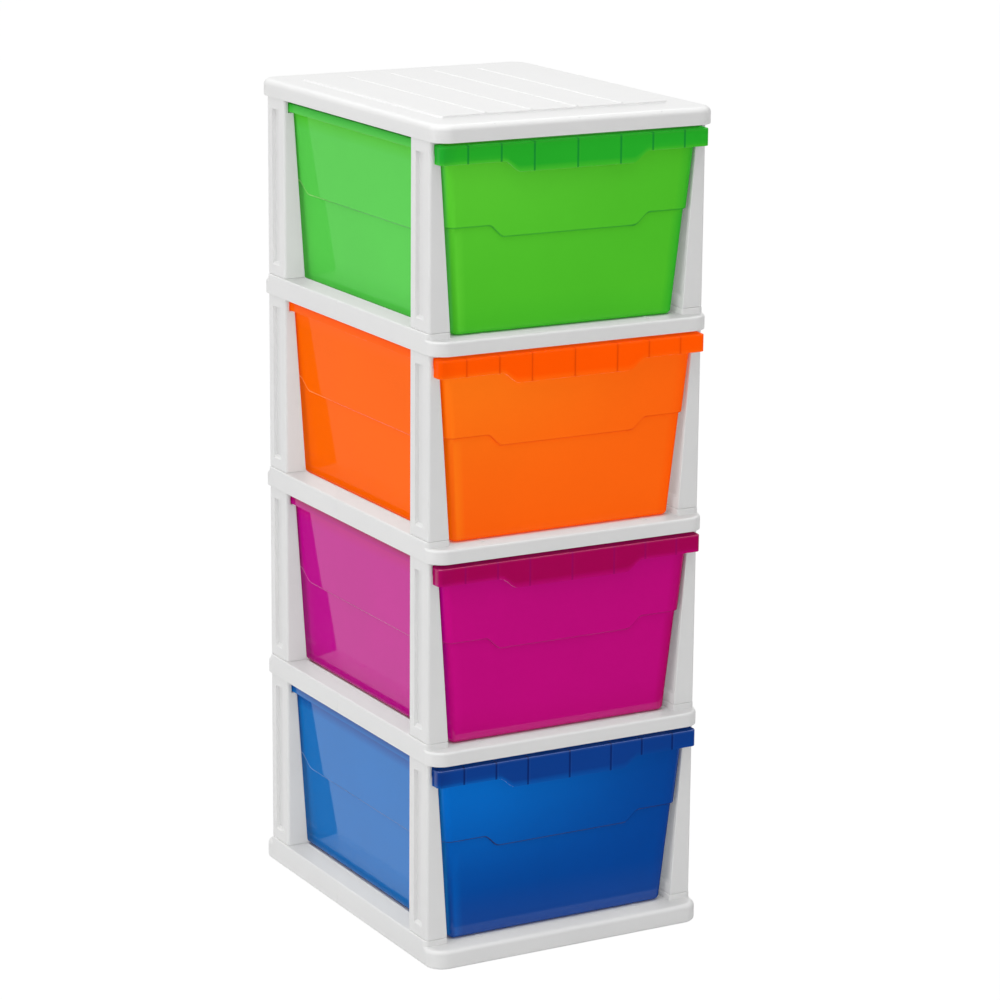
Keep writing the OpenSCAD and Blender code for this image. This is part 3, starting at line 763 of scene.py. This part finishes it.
FLOOR_REACH = 30
FLOOR_CORNERS = [(-FLOOR_REACH, -FLOOR_REACH, 0), (FLOOR_REACH, -FLOOR_REACH, 0),
                 (FLOOR_REACH, FLOOR_REACH, 0), (-FLOOR_REACH, FLOOR_REACH, 0)]

floor_mesh = bpy.data.meshes.new("floor")
floor_mesh.from_pydata(FLOOR_CORNERS, [], [(0, 1, 2, 3)])
floor = bpy.data.objects.new("floor", floor_mesh)
bpy.context.scene.collection.objects.link(floor)
paper = bpy.data.materials.new("white studio paper")
paper.use_nodes = True
tree = paper.node_tree
tree.nodes.clear()
where = add(tree, "ShaderNodeTexCoord").outputs["Object"]
fibres = add(tree, "ShaderNodeTexNoise", Vector=where, Scale=300.0, Detail=2.0)
tone = add(tree, "ShaderNodeMix", {"data_type": "RGBA"}, Factor=fibres,
           A=linear("#F4F4F4"), B=linear("#F8F8F8"))
matt = add(tree, "ShaderNodeBsdfDiffuse", Color=tone)
bright = add(tree, "ShaderNodeEmission", Strength=1.03)
place = add(tree, "ShaderNodeSeparateXYZ", Vector=where)
fade = add(tree, "ShaderNodeMapRange", Value=place.outputs["Y"], From_Min=-0.35, From_Max=0.05,
           To_Min=0.05, To_Max=0.62)
mirrored = add(tree, "ShaderNodeEmission", Strength=fade)
rays = add(tree, "ShaderNodeLightPath").outputs
seen = add(tree, "ShaderNodeMath", {"operation": "MULTIPLY"}, i0=rays["Is Camera Ray"], i1=0.95)
mixed = add(tree, "ShaderNodeMixShader", Fac=rays["Is Glossy Ray"], i1=matt, i2=mirrored)
mixed = add(tree, "ShaderNodeMixShader", Fac=seen, i1=mixed, i2=bright)
add(tree, "ShaderNodeOutputMaterial", Surface=mixed)
floor_mesh.materials.append(paper)

world = bpy.data.worlds.new("white studio")
bpy.context.scene.world = world
world.use_nodes = True
tree = world.node_tree
tree.nodes.clear()
rays = add(tree, "ShaderNodeLightPath").outputs
place = add(tree, "ShaderNodeSeparateXYZ",
            Vector=add(tree, "ShaderNodeTexCoord").outputs["Generated"])
fade = add(tree, "ShaderNodeMapRange", Value=place.outputs["Y"], From_Min=-0.3, From_Max=0.4,
           To_Min=0.06, To_Max=0.75)
above = add(tree, "ShaderNodeMapRange", Value=place.outputs["Z"], From_Min=0.35, From_Max=0.6,
            To_Min=0.0, To_Max=2.4)
fade = add(tree, "ShaderNodeMath", {"operation": "MAXIMUM"}, i0=fade, i1=above)
around = add(tree, "ShaderNodeMapRange", Value=place.outputs["X"], From_Min=-1.0, From_Max=1.0,
             To_Min=0.67, To_Max=0.51)
strength = add(tree, "ShaderNodeMix", Factor=rays["Is Glossy Ray"], A=around, B=fade)
strength = add(tree, "ShaderNodeMix", Factor=rays["Is Camera Ray"], A=strength, B=1.0)
white = add(tree, "ShaderNodeBackground", Color=(1, 1, 1, 1), Strength=strength)
add(tree, "ShaderNodeOutputWorld", Surface=white)


def softbox(name, place, target, size, power):
    lamp = bpy.data.lights.new(name, "AREA")
    lamp.shape = "RECTANGLE"
    lamp.size, lamp.size_y = size
    lamp.energy = power
    holder = bpy.data.objects.new(name, lamp)
    bpy.context.scene.collection.objects.link(holder)
    holder.location = place
    holder.rotation_euler = (Vector(target) - Vector(place)).to_track_quat("-Z", "Y").to_euler()


softbox("left softbox", (-3.0, -0.6, 1.9), (0, 0, 0.5), (2.4, 2.6), 18)
softbox("top softbox", (-0.4, -0.5, 3.4), (0, 0, 0.8), (2.4, 2.4), 29)

AZIMUTH, ELEVATION, ROLL = math.radians(-29.15), math.radians(14.22), math.radians(0.50)
CAMERA_PLACE = (-2.05454, -3.73640, 1.58244)
SENSOR_MM, FOCAL_IN_FRAMES = 36.0, 3.58638

back = Vector((math.sin(AZIMUTH) * math.cos(ELEVATION), -math.cos(AZIMUTH) * math.cos(ELEVATION),
               math.sin(ELEVATION)))
right = (-back).cross(Vector((0, 0, 1))).normalized()
up = right.cross(-back)
right, up = (math.cos(ROLL) * right + math.sin(ROLL) * up,
             math.cos(ROLL) * up - math.sin(ROLL) * right)
view = bpy.data.cameras.new("camera")
view.sensor_width = SENSOR_MM
view.lens = FOCAL_IN_FRAMES * SENSOR_MM
camera = bpy.data.objects.new("camera", view)
bpy.context.scene.collection.objects.link(camera)
camera.matrix_world = Matrix((
    (right.x, up.x, back.x, CAMERA_PLACE[0]),
    (right.y, up.y, back.y, CAMERA_PLACE[1]),
    (right.z, up.z, back.z, CAMERA_PLACE[2]),
    (0, 0, 0, 1),
))
bpy.context.scene.camera = camera
bpy.context.scene.view_settings.view_transform = "Standard"
